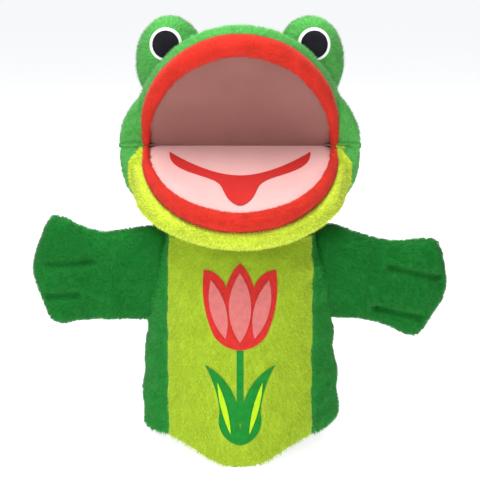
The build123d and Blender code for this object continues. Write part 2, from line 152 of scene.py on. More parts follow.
JERSEY = {"scale": 30, "fine": 1600, "bump": 0.2, "rough": 0.85, "sheen": 0.1}
PALATE = cloth_material("palate_cloth", (0.62, 0.33, 0.315), (0.69, 0.39, 0.375), **JERSEY)
# The upper palate's cloth is much darker than the lower one's: painted shade, since it faces down, away from
# the top light
SHADED_PALATE = cloth_material("upper_palate_cloth", (0.185, 0.072, 0.062), (0.215, 0.088, 0.076), **JERSEY)
LINING = cloth_material("lining_cloth", (0.62, 0.64, 0.60), (0.72, 0.74, 0.70), 60, 1500, 0.3)
FIBRE = cloth_material("fibre_filling", (0.75, 0.75, 0.73), (0.85, 0.85, 0.83), 60, 500, 0.6)
BOARD = cloth_material("felted_board", (0.50, 0.47, 0.40), (0.60, 0.57, 0.50), 80, 1200, 0.3)

PRINTED = {"scale": 300, "fine": 1400, "bump": 0.5, "rough": 0.85, "sheen": 0.05}
ON_JERSEY = PRINTED | {"scale": 60, "bump": 0.3}
RED_PRINT = cloth_material("red_print", (0.42, 0.012, 0.010), (0.50, 0.018, 0.015), **PRINTED)
TONGUE_PRINT = cloth_material("tongue_print", (0.42, 0.010, 0.008), (0.50, 0.016, 0.012), **ON_JERSEY)
PINK_PRINT = cloth_material("pink_print", (0.46, 0.115, 0.11), (0.53, 0.145, 0.14), **PRINTED)
GREEN_PRINT = cloth_material("green_print", (0.0, 0.150, 0.010), (0.002, 0.19, 0.016), **PRINTED)
LIME_PRINT = cloth_material("lime_print", (0.30, 0.50, 0.0), (0.37, 0.58, 0.006), **PRINTED)

THREAD = {"scale": 200, "fine": 2500}
WHITE_THREAD = cloth_material(
    "white_thread", (0.74, 0.74, 0.73), (0.86, 0.86, 0.85), **THREAD, bump=0.3, rough=0.6, sheen=0.05
)
BLACK_THREAD = cloth_material(
    "black_thread", (0.002, 0.002, 0.004), (0.005, 0.005, 0.008), **THREAD, bump=0.2, rough=0.95, sheen=0
)


# ---- Meshes ----------------------------------------------
def mesh_object(name, points, faces, materials):
    """A smooth-shaded object from points and faces."""
    mesh = bpy.data.meshes.new(name)
    mesh.from_pydata([tuple(p) for p in points], [], [tuple(f) for f in faces])
    for material in materials if isinstance(materials, list) else [materials]:
        mesh.materials.append(material)
    mesh.shade_smooth()
    mesh.update()
    obj = bpy.data.objects.new(name, mesh)
    bpy.context.scene.collection.objects.link(obj)
    return obj


def grid_faces(rows, cols, closed=False):
    """Quads of a grid of points, row by row, closed round its columns if asked."""
    last = cols if closed else cols - 1
    r, c = np.meshgrid(np.arange(rows - 1), np.arange(last), indexing="ij")
    n = (c + 1) % cols
    return np.stack([r * cols + c, r * cols + n, (r + 1) * cols + n, (r + 1) * cols + c], -1).reshape(-1, 4)


def point_normals(points, faces):
    """Unit normals of the points of a quad or triangle mesh."""
    normals = np.zeros_like(points)
    corners = points[faces]
    across = np.cross(corners[:, 2] - corners[:, 0], corners[:, -1] - corners[:, 1])
    for k in range(faces.shape[1]):
        np.add.at(normals, faces[:, k], across)
    return normals / np.maximum(np.linalg.norm(normals, axis=1, keepdims=True), 1e-12)


def outward(points, faces, inner):
    """The same faces, turned so that they face away from the inner points."""
    normals = point_normals(points, faces)
    return faces if (normals * (points - inner)).sum() > 0 else faces[:, ::-1]


def thicken(obj, thick):
    """Gives an open mesh its thickness, inside it."""
    solid = obj.modifiers.new("thickness", "SOLIDIFY")
    solid.thickness, solid.offset = thick, -1
    graph = bpy.context.evaluated_depsgraph_get()
    mesh = bpy.data.meshes.new_from_object(obj.evaluated_get(graph))
    obj.modifiers.clear()
    old, obj.data = obj.data, mesh
    bpy.data.meshes.remove(old)
    obj.data.shade_smooth()


def end_loops(rows, cols, flipped=False):
    """The two faces that close the ends of a tube of points."""
    loops = [list(range(cols)), list(range((rows - 1) * cols, rows * cols))[::-1]]
    return [loop[::-1] for loop in loops] if flipped else loops


def used_only(points, faces):
    """The same faces with unused points dropped."""
    used = np.unique(faces)
    index = np.zeros(len(points), int)
    index[used] = np.arange(len(used))
    return points[used], index[faces]


def sheet(name, points, faces, material, thick):
    """A closed sheet of cloth: its faces as given, and its thickness inside them."""
    obj = mesh_object(name, *used_only(points, faces), material)
    thicken(obj, thick)
    return obj


PILE_DENSITY = 2.2                # spikes per square millimetre
PILE_TOUSLE = 0.28                # how much the way each spike leans is left to chance
ROOT_DEPTH = 0.35 * MM
THREE_SIDES = ((1.0, 0.0), (-0.5, 0.866), (-0.5, -0.866))     # the corners of a spike's base


def scattered_roots(points, faces, density):
    """Random points all over a surface, and the surface's normal at each of them."""
    corners = np.concatenate([faces[:, [0, 1, 2]], faces[:, [0, 2, 3]]]) if faces.shape[1] == 4 else faces
    first, second, third = (points[corners[:, k]] for k in range(3))
    area = np.linalg.norm(np.cross(second - first, third - first), axis=1) / 2
    normals = point_normals(points, faces)
    count = int(area.sum() / MM**2 * density)
    pick = RANDOM.choice(len(corners), count, p=area / area.sum())
    u, v = RANDOM.random(count), RANDOM.random(count)
    flip = u + v > 1
    u[flip], v[flip] = 1 - u[flip], 1 - v[flip]
    share = np.stack([1 - u - v, u, v], 1)[:, :, None]
    up = (normals[corners[pick]] * share).sum(1)
    up /= np.maximum(np.linalg.norm(up, axis=1, keepdims=True), 1e-12)
    return (points[corners[pick]] * share).sum(1), up


def spike_mesh(name, spikes, normals, tints):
    """One object of closed three-sided spikes, each with a random tint; spikes holds the corners of each."""
    count = len(spikes)
    triangles = np.array([[0, 2, 1], [0, 1, 3], [1, 2, 3], [2, 0, 3]])
    corner_points = (np.arange(count)[:, None, None] * 4 + triangles).reshape(-1)
    tint_numbers = np.repeat(RANDOM.integers(0, len(tints), count), 4)
    mesh = bpy.data.meshes.new(name)
    mesh.vertices.add(4 * count)
    mesh.vertices.foreach_set("co", spikes.astype(np.float32).ravel())
    mesh.loops.add(len(corner_points))
    mesh.loops.foreach_set("vertex_index", corner_points.astype(np.int32))
    mesh.polygons.add(4 * count)
    mesh.polygons.foreach_set("loop_start", np.arange(0, 12 * count, 3, dtype=np.int32))
    mesh.polygons.foreach_set("material_index", tint_numbers.astype(np.int32))
    for tint in tints:
        mesh.materials.append(tint)
    mesh.update(calc_edges=True)
    mesh.shade_smooth()
    mesh.normals_split_custom_set_from_vertices(np.repeat(normals, 4, axis=0).tolist())
    obj = bpy.data.objects.new(name, mesh)
    bpy.context.scene.collection.objects.link(obj)
    return obj


def pile(name, points, faces, tints, nap, density, length, lean=0.9, width=0.22 * MM, keep=None):
    """The pile of a plush, as short spikes rooted all over its cloth: density is in spikes per square
    millimetre, nap gives the way they lie at each root, and keep says which roots to use."""
    roots, up = scattered_roots(points, faces, density)
    if keep is not None:
        chosen = keep(roots)
        roots, up = roots[chosen], up[chosen]
    count = len(roots)
    lie = nap(roots, up)
    lie = lie - (lie * up).sum(1, keepdims=True) * up
    lie /= np.maximum(np.linalg.norm(lie, axis=1, keepdims=True), 1e-9)
    direction = up + lean * lie + RANDOM.normal(0, PILE_TOUSLE, (count, 3))
    direction /= np.linalg.norm(direction, axis=1, keepdims=True)
    lengths = (length(roots) if callable(length) else length) * RANDOM.uniform(0.65, 1.2, count)
    side = np.cross(direction, RANDOM.normal(0, 1, (count, 3)))
    side /= np.linalg.norm(side, axis=1, keepdims=True)
    other = np.cross(direction, side)
    half = width * RANDOM.uniform(0.7, 1.3, (count, 1))
    base = roots - up * ROOT_DEPTH
    base_corners = [base + side * half * across + other * half * along for across, along in THREE_SIDES]
    spikes = np.stack([*base_corners, roots + direction * lengths[:, None]], 1)
    return spike_mesh(name, spikes, 0.65 * up + 0.35 * direction, tints)


def down(roots, up):
    """A nap that hangs straight down."""
    return np.tile([0.0, 0.0, -1.0], (len(roots), 1))


def wave_push(points, faces, scale, seed, height):
    """The points, pushed in and out of their surface by smooth noise."""
    return points + point_normals(points, faces) * (waves(points, scale, seed) * height)[:, None]


def clear_of(*nodes, margin=1.3 * MM):
    """A test for pile roots: true for those that keep this far from the named printed films."""
    films = tree_of(*nodes)
    return lambda roots: np.array([films.find_nearest(Vector(p), margin)[0] is None for p in roots])


def waves(points, scale, seed):
    """Smooth noise from -1 to 1 at each point, made of turned sine waves; scale is its length in metres."""
    source = np.random.default_rng(seed)
    total = np.zeros(len(points))
    for octave in range(3):
        for _ in range(4):
            way = source.normal(0, 1, 3)
            way /= np.linalg.norm(way)
            turn = points @ way * (2 * math.pi * (1.7**octave) / scale) + source.uniform(0, 6.28)
            total += np.sin(turn) * 0.6**octave
    return total / 5.0


def smooth_step(low, high, value):
    """0 at low, 1 at high, and a smooth rise between; low may be the greater of the two."""
    t = np.clip((value - low) / (high - low), 0, 1)
    return t * t * (3 - 2 * t)


def fasten(pieces, body):
    """Makes pieces ride on a body."""
    for piece in pieces:
        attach(piece, body)


def tree_of(*names):
    """A ray caster over the named CAD nodes."""
    points, polygons = [], []
    for name in names:
        mesh = NODES[name].data
        start = len(points)
        points += [v.co.copy() for v in mesh.vertices]
        polygons += [[start + i for i in p.vertices] for p in mesh.polygons]
    return BVHTree.FromPolygons(points, polygons)


# ---- Places from the frame -------------------------------
FOLD = np.array(JOINTS["upper_jaw_hinge"]["pos_m"])
NECK_TURN_Z = JOINTS["neck_turn"]["pos_m"][2]
NECK_NOD_Z = JOINTS["head_nod"]["pos_m"][2]


def rise(node):
    """How steeply a flat node of the mouth leans, in radians above the horizontal."""
    low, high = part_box(node)
    return math.atan2(high.z - low.z, high.y - low.y)


UPPER_OPEN = rise("upper_palate_lining")
LOWER_OPEN = rise("lower_palate_lining")
BELLY_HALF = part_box("belly_panel")[1].x


def jaw_place(points, upper):
    """Turns points of a closed, level jaw (x, forward, up from the palate) into the puppet's frame."""
    x, forward, up = points[..., 0], points[..., 1], points[..., 2]
    lean, sign = (UPPER_OPEN, 1.0) if upper else (LOWER_OPEN, -1.0)
    y = FOLD[1] - forward * math.cos(lean) + up * math.sin(lean)
    z = FOLD[2] + sign * (forward * math.sin(lean) + up * math.cos(lean))
    return np.stack([x, y, z], -1)


# ---- Sleeve ----------------------------------------------
def sleeve_radius_table(angles, heights):
    """How far out the CAD sleeve reaches at each height and angle round it."""
    tree = tree_of("belly_panel", "left_side_panel", "right_side_panel", "back_panel")
    start, shortest = 0.2, 0.1    # where each ray starts, and the least distance it may run, metres
    table = np.full((len(heights), len(angles)), np.nan)
    for i, z in enumerate(heights):
        for k, angle in enumerate(angles):
            out = Vector((math.sin(angle), -math.cos(angle), 0))
            hit, _, _, distance = tree.ray_cast(out * start + Vector((0, 0, z)), -out)
            if hit is not None and distance > shortest:
                table[i, k] = start - distance
    for row in table:
        good = ~np.isnan(row)
        row[~good] = np.interp(angles[~good], angles[good], row[good], period=2 * math.pi)
    return table


SLEEVE_COLS, SLEEVE_ROWS = 200, 90
SLEEVE_ANGLES = (np.arange(SLEEVE_COLS) + 0.5) / SLEEVE_COLS * 2 * math.pi
SLEEVE_TABLE_TOP = 104 * MM       # above here the sleeve draws in to the neck
SLEEVE_HEIGHTS = np.linspace(1 * MM, SLEEVE_TABLE_TOP, 34)
SLEEVE_RADII = sleeve_radius_table(SLEEVE_ANGLES, SLEEVE_HEIGHTS)
HEM_DIP, HEM_RISE, HEM_SIDE = 2.6 * MM, 8.6 * MM, 6.2 * MM    # the soft hem's middle, corners and side seams
HEM_CURL, CURL_HEIGHT = 1.4 * MM, 1.6 * MM                    # how far, and how high up, its edge turns in
PLEATS, PLEAT_DEPTH, FOLD_DEPTH = 9, 0.7 * MM, 1.5 * MM       # pleats at the hem, and soft folds all over
NECK_OVAL = (43.5 * MM, 27.0 * MM)


def oval_radius(half_x, half_y, angles):
    """Radius of an upright oval tube at each angle round it from the front."""
    return 1 / np.sqrt((np.sin(angles) / half_x) ** 2 + (np.cos(angles) / half_y) ** 2)


def hem_height(angles):
    """The hem hangs lowest in front and behind, and is highest at its four soft corners."""
    side = np.abs(np.sin(angles))
    corner = smooth_step(0.09, 0.77, side)
    return -HEM_DIP + (HEM_RISE + HEM_DIP) * corner - (HEM_RISE - HEM_SIDE) * smooth_step(0.77, 1.0, side)


SLEEVE_TOP = NECK_TURN_Z + 3.5 * MM
FACING_ROWS = 12
SEAM_COLUMN = 28                  # the column of points that runs along each seam of the belly


def sleeve_reach(angles, share):
    """How far out the sleeve reaches at each angle, and how high, a share of the way from hem to neck."""
    hem = hem_height(angles)
    z = hem * (1 - share) ** 3 + share * SLEEVE_TOP
    column = angles / (2 * math.pi) * SLEEVE_COLS - 0.5
    row = np.interp(z, SLEEVE_HEIGHTS, np.arange(len(SLEEVE_HEIGHTS)))
    before = np.floor(column).astype(int)
    below = np.minimum(np.floor(row).astype(int), len(SLEEVE_HEIGHTS) - 2)
    across, along = column - before, row - below
    first, second = before % SLEEVE_COLS, (before + 1) % SLEEVE_COLS
    low = SLEEVE_RADII[below, first] * (1 - across) + SLEEVE_RADII[below, second] * across
    high = SLEEVE_RADII[below + 1, first] * (1 - across) + SLEEVE_RADII[below + 1, second] * across
    close = smooth_step(SLEEVE_TABLE_TOP - 4 * MM, SLEEVE_TOP, z)
    curl = HEM_CURL * np.exp(-((z - hem) / CURL_HEIGHT))
    radius = (low * (1 - along) + high * along) * (1 - close) + oval_radius(*NECK_OVAL, angles) * close
    return radius - curl, z


def seamed_angles(share):
    """The angles of one row's points, shifted in front so that a column runs along each seam of the belly."""
    trial = np.radians(np.linspace(25, 80, 60))
    reach, _ = sleeve_reach(trial, share)
    seam = np.interp(BELLY_HALF, reach * np.sin(trial), trial)
    plain = SLEEVE_ANGLES[SEAM_COLUMN]
    from_front = np.where(SLEEVE_ANGLES > math.pi, 2 * math.pi - SLEEVE_ANGLES, SLEEVE_ANGLES)
    moved = np.interp(from_front, [0, plain, math.pi / 2, math.pi], [0, seam, math.pi / 2, math.pi])
    return np.where(SLEEVE_ANGLES > math.pi, 2 * math.pi - moved, moved)


def sleeve_grid(inset):
    """Points of the sleeve, drawn in by inset: rows from the hem up to the neck."""
    grid = []
    for share in np.linspace(0, 1, SLEEVE_ROWS):
        angles = seamed_angles(share)
        reach, z = sleeve_reach(angles, share)
        radius = reach - inset
        grid.append(np.stack([radius * np.sin(angles), -radius * np.cos(angles), z], -1))
    points = np.array(grid).reshape(-1, 3)
    out = np.stack([points[:, 0], points[:, 1], np.zeros(len(points))], 1)
    out /= np.linalg.norm(out, axis=1, keepdims=True)
    return points + out * sleeve_folds(points)[:, None]


def sleeve_folds(points):
    """Soft folds of the sleeve: none under the printed artwork, deepest at the side seams and the hem."""
    x, y, z = points.T
    in_front = smooth_step(24 * MM, 46 * MM, np.abs(x))
    behind = smooth_step(42 * MM, 52 * MM, np.abs(x))
    free = np.where(y < 0, in_front, behind)
    low = smooth_step(45 * MM, 5 * MM, z)
    angle = np.arctan2(x, -y)
    pleats = np.sin(angle * PLEATS + 1.3 * np.sin(z * 40)) * low * PLEAT_DEPTH
    creases = waves(points * [1, 1, 2.2], 46 * MM, 3) * FOLD_DEPTH
    return free * (pleats + creases) - 0.35 * MM


def sleeve():
    """The four outer panels, the lining inside them and the facing inside the hem."""
    faces = grid_faces(SLEEVE_ROWS, SLEEVE_COLS, True)
    points = sleeve_grid(0)
    x, y = points[faces].mean(1)[:, :2].T
    column = np.arange(len(faces)) % SLEEVE_COLS
    is_belly = (column < SEAM_COLUMN) | (column >= SLEEVE_COLS - 1 - SEAM_COLUMN)
    clear = clear_of("flower_print", "stem_print", "back_stripe_prints")

    def short_at_seams(roots):
        seam = np.exp(-(((np.abs(roots[:, 0]) - BELLY_HALF) / (1.5 * MM)) ** 2)) * (roots[:, 1] < 0)
        return (2.3 - 1.3 * seam) * MM

    regions = {
        "belly": (is_belly, LIME, "lime_plush"),
        "left_side": (~is_belly & (y < 0) & (x > 0), SIDE_GREEN, "dark_green_plush"),
        "right_side": (~is_belly & (y < 0) & (x < 0), SIDE_GREEN, "dark_green_plush"),
        "back": (y > 0, SIDE_GREEN, "dark_green_plush"),
    }
    for name, (chosen, plush, slot) in regions.items():
        skin = sheet(f"{name}_plush", points, faces[chosen], plush["skin"], 1.8 * MM)
        fur = pile(f"{name}_plush_pile", points, faces[chosen], plush["pile"], down, PILE_DENSITY,
                   short_at_seams, keep=clear)
        fasten((skin, fur), "sleeve")
        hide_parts(f"{name}_panel")
    lining = sheet("sleeve_lining_cloth", sleeve_grid(2.8 * MM), faces, LINING, 0.7 * MM)
    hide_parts("sleeve_lining")
    hem_faces = faces[: FACING_ROWS * SLEEVE_COLS]
    facing = sheet("hem_facing_cloth", sleeve_grid(3.6 * MM), hem_faces, LINING, 1.0 * MM)
    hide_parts("hem_facing")
    fasten((lining, facing), "sleeve")


# ---- Head ------------------------------------------------
HEAD_HALF = 66.5 * MM
CORE_RADIUS = 45.0 * MM
NAPE_FULL, BROW_FULL, CROWN_FLAT = 6.5 * MM, 1.0 * MM, 3.7 * MM


def core_radius(degrees):
    """Radius of the head about the mouth fold at each angle above straight ahead: round wherever a jaw slides
    over it, flatter behind the crown, where the stripes lie, and fuller at the nape."""
    turn = degrees % 360
    nape = np.exp(-(((turn - 228) / 34) ** 2)) * NAPE_FULL
    brow = np.exp(-(((turn - 150) / 30) ** 2)) * BROW_FULL
    flat = smooth_step(112, 146, turn) * smooth_step(231, 206, turn) * CROWN_FLAT
    return CORE_RADIUS + nape + brow - flat


MOUTH_WEDGE = (-math.degrees(LOWER_OPEN), math.degrees(UPPER_OPEN))
# The cheeks are hollow between the jaws, and roll in to the mouth's corners between these two distances
CORNER_INNER, CORNER_OUTER = 50.5 * MM, 57.0 * MM
CHEEK_LEFT, JOWL_LEFT = 0.10, 0.03     # the share of the cheek's roundness left beside each lip
WEDGE_EASE, JOWL_EASE = 30.0, 62.0     # degrees over which the hollow fades, in the middle and at the jowls
JOWL_INNER, JOWL_OUTER = 54.0 * MM, 61.7 * MM      # half the throat's width, at the mouth's corners and below
JOWL_DROP = 8.0 * MM              # how far below the fold it reaches its full width
# It narrows to the neck between these two drops, by this much
THROAT_TOP, THROAT_LOW, THROAT_IN = 18.0 * MM, 46.0 * MM, 16.0 * MM
HIDDEN_HALF = 51.0 * MM           # the core is open between the palates, this far from the middle
END_TURN = 0.03                   # radians: how near the core's rows come to its two ends


def core_points(degrees, turns):
    """Points of the head at each angle round the fold, along arcs from one cheek to the other."""
    angle, turn = np.meshgrid(degrees, turns, indexing="ij")
    jowl = np.exp(-((((angle % 360) - 262) / 42) ** 2))
    x = HEAD_HALF * np.cos(turn)
    radius = core_radius(angle) * np.sin(turn) ** (0.92 - 0.30 * jowl)
    middle = smooth_step(CORNER_OUTER, CORNER_INNER, np.abs(x))
    left = JOWL_LEFT + (CHEEK_LEFT - JOWL_LEFT) * smooth_step(-8.0, 14.0, angle)
    hollow = mouth_mask(angle) * 0.93 * middle + mouth_mask(angle, JOWL_EASE) * (1 - left) * (1 - middle)
    radius = radius * (1 - hollow)
    lift = np.radians(angle)
    return np.stack([x, FOLD[1] - radius * np.cos(lift), FOLD[2] + radius * np.sin(lift)], -1)


def mouth_mask(degrees, chin_ease=WEDGE_EASE):
    """1 between the palates, fading to 0 a little way under each jaw."""
    low, high = MOUTH_WEDGE
    return smooth_step(low - chin_ease, low, degrees) * smooth_step(high + WEDGE_EASE, high, degrees)


def head_core():
    """The back of the head and the cheeks, which both jaws slide over: its points, faces and ends."""
    rows, cols = 180, 150
    degrees = np.linspace(-180, 180, rows, endpoint=False)
    points = core_points(degrees, np.linspace(END_TURN, math.pi - END_TURN, cols)).reshape(-1, 3)
    faces = grid_faces(rows, cols)
    last, first = (rows - 1) * cols, np.arange(cols - 1)
    faces = np.concatenate([faces, np.stack([last + first, last + first + 1, first + 1, first], 1)])
    at = degrees[(faces[:, 0] // cols) % rows]
    open_mouth = (mouth_mask(at) > 0.7) & (np.abs(points[faces].mean(1)[:, 0]) < HIDDEN_HALF)
    faces = outward(points, faces, FOLD)[~open_mouth]
    ends = []
    for col in (0, cols - 1):
        ring = np.arange(rows) * cols + col
        points = np.concatenate([points, points[ring].mean(0, keepdims=True)])
        fan = np.stack([ring, np.roll(ring, -1), np.full(rows, len(points) - 1)], 1)
        ends.append(outward(points, fan, FOLD))
    return wave_push(points, faces, 60 * MM, 5, 0.5 * MM), faces, ends


def head():
    """The back of the head, with the yellow-green throat laid over it."""
    points, faces, ends = head_core()
    clear = clear_of("head_stripe_prints")
    all_faces = [tuple(f) for part in (faces, *ends) for f in part]
    skin = mesh_object("head_plush", points, all_faces, GREEN["skin"])
    thicken(skin, 1.6 * MM)

    def short_in_front(roots):
        front = smooth_step(FOLD[1] + 25 * MM, FOLD[1], roots[:, 1])
        return (2.4 - 0.8 * front) * MM

    def in_sight(roots):
        return clear(roots) & ~in_jowl(roots)

    fur = pile("head_plush_pile", points, faces, GREEN["pile"], head_nap, PILE_DENSITY, short_in_front,
               keep=in_sight)
    fasten((skin, fur), "head")
    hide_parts("head_back_panel", "head_back_padding")

    throat = faces[in_jowl(points[faces].mean(1))]
    raised = points + point_normals(points, faces) * 0.5 * MM
    cloth = sheet("jowl_plush", raised, throat, CHIN["skin"], 0.8 * MM)
    fur = pile("jowl_plush_pile", raised, throat, CHIN["pile"], head_nap, PILE_DENSITY * 1.3, 1.9 * MM)
    fasten((cloth, fur), "head")


def in_jowl(points):
    """True on the yellow-green throat, which runs up to a point at each of the mouth's corners."""
    across, drop = np.abs(points[:, 0]), FOLD[2] - points[:, 2]
    edge = JOWL_INNER + (JOWL_OUTER - JOWL_INNER) * np.clip(drop / JOWL_DROP, 0, 1)
    edge = edge - THROAT_IN * smooth_step(THROAT_TOP, THROAT_LOW, drop)
    front = points[:, 1] < FOLD[1] + 1 * MM
    clear_of_palate = (drop > THROAT_TOP) | (across > HIDDEN_HALF - 1 * MM)
    return front & (drop > 0.3 * MM) & (across < edge) & clear_of_palate


def head_nap(roots, up):
    """The pile of the head lies back from the mouth and down."""
    return np.stack([roots[:, 0] * 4, np.full(len(roots), 0.5), np.full(len(roots), -0.8)], 1)


# ---- Jaws ------------------------------------------------
LIP_OVAL = {True: (52.4 * MM, 64.0 * MM), False: (52.4 * MM, 61.8 * MM)}     # upper and lower
LIP_MIDDLE = {True: 5.9 * MM, False: 5.2 * MM}
LIP_END = 1.5 * MM
# Half width, length and height of each jaw's dome, and how much wider it is at the mouth's corners, where the
# snout flares and the chin draws in
SNOUT_SIZE = (60.0 * MM, 74.0 * MM, 44.5 * MM, 3.0 * MM)
CHIN_SIZE = (70.0 * MM, 75.0 * MM, 41.0 * MM, -11.0 * MM)
SNOUT_END, CHIN_END = 64.0, 52.0  # degrees above the palate, about the fold, where each dome's rear edge lies
SEAM_OUT, SEAM_UP = 0.50, 1.85    # where the lip's seam lies, in lip radii out from and above its base
RIM_LIFT = 0.37                   # radians up the dome where the rim ends
RIM_SAG = 0.6 * MM
LIP_TURNS = np.radians((1.5, 178.5))   # where the roll of each lip starts and ends
# How far past its ends it is rounded off, and how wide it is there, in lip radii
LIP_CAPS = ((-0.95, 0.3), (-0.7, 0.72), (-0.35, 0.94))
PALATE_GAP = (1.6 * MM, 2.2 * MM)      # how far inside the lip's middle its cloth ends, across and forward
GATHERS, GATHER_HEIGHT, PALATE_LIP = 46, 0.22 * MM, 1.4 * MM    # its edge is gathered, and rises to the lip
TUCKS = (0.985, 0.95, 0.88, 0.80)      # how the rear edge tucks in, as shares of its distance from the fold


def lip_radius(turns, upper):
    """Radius of a lip's roll at each turn round the mouth: fullest in the middle, thin at the corners."""
    return LIP_END + (LIP_MIDDLE[upper] - LIP_END) * np.sin(turns) ** (0.62 if upper else 0.8)


def oval(half_x, length, turns):
    """Level points (x, forward) round half an oval, from one corner of the mouth to the other."""
    return np.stack([half_x * np.cos(turns), length * np.sin(turns)], -1)


def jaw_skin_points(size, upper, end_degrees):
    """The plush of one jaw, closed and level: from the lip's seam it rolls over the rim, runs up a dome to
    its rear edge and tucks in there. It runs out to nothing at the mouth's corners."""
    cols, band_rows, dome_rows = 150, 16, 40
    half_x, length, height, corner = size
    turns = np.linspace(0.0, math.pi, cols)
    ease = smooth_step(0.0, 0.35, np.sin(turns))
    wide = half_x + corner * np.abs(np.cos(turns)) ** (8 if upper else 16)
    outline = np.stack([wide * np.cos(turns), length * np.sin(turns)], -1)
    radius = lip_radius(turns, upper)
    seam = oval(*LIP_OVAL[upper], turns) + oval(1, 1, turns) * (radius * SEAM_OUT)[:, None]
    last_lift = np.arctan(math.tan(math.radians(end_degrees)) * length * np.sin(turns) / height)
    first_lift = np.minimum(RIM_LIFT, 0.55 * last_lift)
    rim_height = height * np.sin(first_lift)
    seam_height = np.minimum(radius * SEAM_UP, 0.75 * rim_height)
    rim = outline * np.cos(first_lift)[:, None]
    rows = []
    for share in np.linspace(0, 1, band_rows):
        out = seam + (rim - seam) * math.sin(share * math.pi / 2) ** 0.8
        up = seam_height + (rim_height - seam_height) * (1 - math.cos(share * math.pi / 2))
        up = up - RIM_SAG * math.sin(share * math.pi) * ease
        rows.append(np.concatenate([out, up[:, None]], 1))
    for share in np.linspace(0, 1, dome_rows)[1:]:
        lift = first_lift + (last_lift - first_lift) * share
        flat = outline * np.cos(lift)[:, None]
        rows.append(np.concatenate([flat, (height * np.sin(lift))[:, None]], 1))
    edge = rows[-1]
    for shrink in TUCKS:
        rows.append(edge * [0.5 + 0.5 * shrink, shrink, shrink])
    return np.array(rows)


def jaw(name, size, upper, body, plush, end_degrees):
    """The plush over one jaw, from its lip back to where it tucks in against the head."""
    grid = jaw_skin_points(size, upper, end_degrees)
    points = jaw_place(grid.reshape(-1, 3), upper)
    inner = jaw_place(np.array([0.0, 30 * MM, 5 * MM]), upper)
    faces = outward(points, grid_faces(*grid.shape[:2]), inner)
    points = wave_push(points, faces, 50 * MM, 8 if upper else 9, 0.45 * MM)
    skin = sheet(f"{name}_plush", points, faces, plush["skin"], 1.6 * MM)
    fall = -0.2 if upper else -0.9

    def nap(roots, up):
        return np.stack([roots[:, 0] * 3, np.full(len(roots), 0.9), np.full(len(roots), fall)], 1)

    fur = pile(f"{name}_plush_pile", points, faces, plush["pile"], nap, PILE_DENSITY * 1.1, 1.9 * MM)
    fasten((skin, fur), body)
    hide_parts(f"{name}_panel", f"{name}_filling")


def lip(word, upper, body):
    """A padded roll of red plush round the edge of one palate, rounded off at both its ends."""
    cols, rows = 150, 20
    turns = np.linspace(*LIP_TURNS, cols)
    radius = lip_radius(turns, upper)
    centre = oval(*LIP_OVAL[upper], turns)
    along = np.stack([-LIP_OVAL[upper][0] * np.sin(turns), LIP_OVAL[upper][1] * np.cos(turns)], -1)
    along /= np.linalg.norm(along, axis=1, keepdims=True)
    out = np.stack([along[:, 1], -along[:, 0]], -1)
    phi = np.arange(rows) / rows * 2 * math.pi
    rings = [(0, back, size) for back, size in LIP_CAPS]
    rings += [(k, 0.0, 1.0) for k in range(cols)]
    rings += [(cols - 1, -back, size) for back, size in reversed(LIP_CAPS)]
    grid = []
    for k, back, size in rings:
        puff = radius[k] * size * (1 + 0.02 * np.cos(3 * phi + 0.2 * k))
        middle = centre[k] + along[k] * back * radius[k]
        flat = middle + out[k] * (puff * np.cos(phi))[:, None]
        lift = (radius[k] + 0.4 * MM) * smooth_step(0.0, 0.2, math.sin(turns[k]))
        grid.append(np.concatenate([flat, (lift + puff * np.sin(phi))[:, None]], 1))
    grid = np.array(grid)
    points = jaw_place(grid.reshape(-1, 3), upper)
    inner = np.repeat(jaw_place(grid.mean(1), upper), rows, axis=0)
    plain = grid_faces(len(rings), rows, True)
    faces = outward(points, plain, inner)
    ends = end_loops(len(rings), rows, flipped=faces is plain)
    points = wave_push(points, faces, 22 * MM, 21 if upper else 22, 0.25 * MM)
    skin = mesh_object(f"{word}_lip_plush", points, [tuple(f) for f in faces] + ends, RED["skin"])
    rise_of_nap = 1.0 if upper else -1.0

    def nap(roots, up):
        sideways = np.sign(roots[:, 0]) * 0.6
        return np.stack([sideways, np.zeros(len(roots)), np.full(len(roots), rise_of_nap)], 1)

    fur = pile(f"{word}_lip_plush_pile", points, faces, RED["pile"], nap, 4.5, 0.95 * MM,
               lean=0.7, width=0.15 * MM)
    fasten((skin, fur), body)
    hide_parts(f"{word}_lip", f"{word}_lip_cord")


def palate(word, upper, body):
    """The smooth cloth inside the mouth, gathered a little where it is sewn to the lip. The upper one is
    darker: painted shade.
    """
    rows, cols = 40, 160
    shares = np.linspace(0.0, 1.0, rows)[:, None]
    turns = np.linspace(0, math.pi, cols)[None, :]
    half_x, length = (size - gap for size, gap in zip(LIP_OVAL[upper], PALATE_GAP))
    x, forward = half_x * shares * np.cos(turns), length * shares * np.sin(turns)
    edge = smooth_step(0.90, 1.0, shares)
    gathers = np.sin(turns * GATHERS + 2 * np.sin(turns * 7)) * GATHER_HEIGHT * edge
    up = 0.15 * MM + edge * PALATE_LIP + gathers
    points = jaw_place(np.stack([x, forward, up], -1).reshape(-1, 3), upper)
    away = jaw_place(np.array([0.0, 30 * MM, 40 * MM]), upper)
    faces = outward(points, grid_faces(rows, cols), away)
    # the upper palate takes the darker cloth: painted shade, as it faces down away from the light
    piece = sheet(f"{word}_palate_cloth", points, faces, SHADED_PALATE if upper else PALATE, 0.7 * MM)
    fasten([piece], body)
    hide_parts(f"{word}_palate_lining")


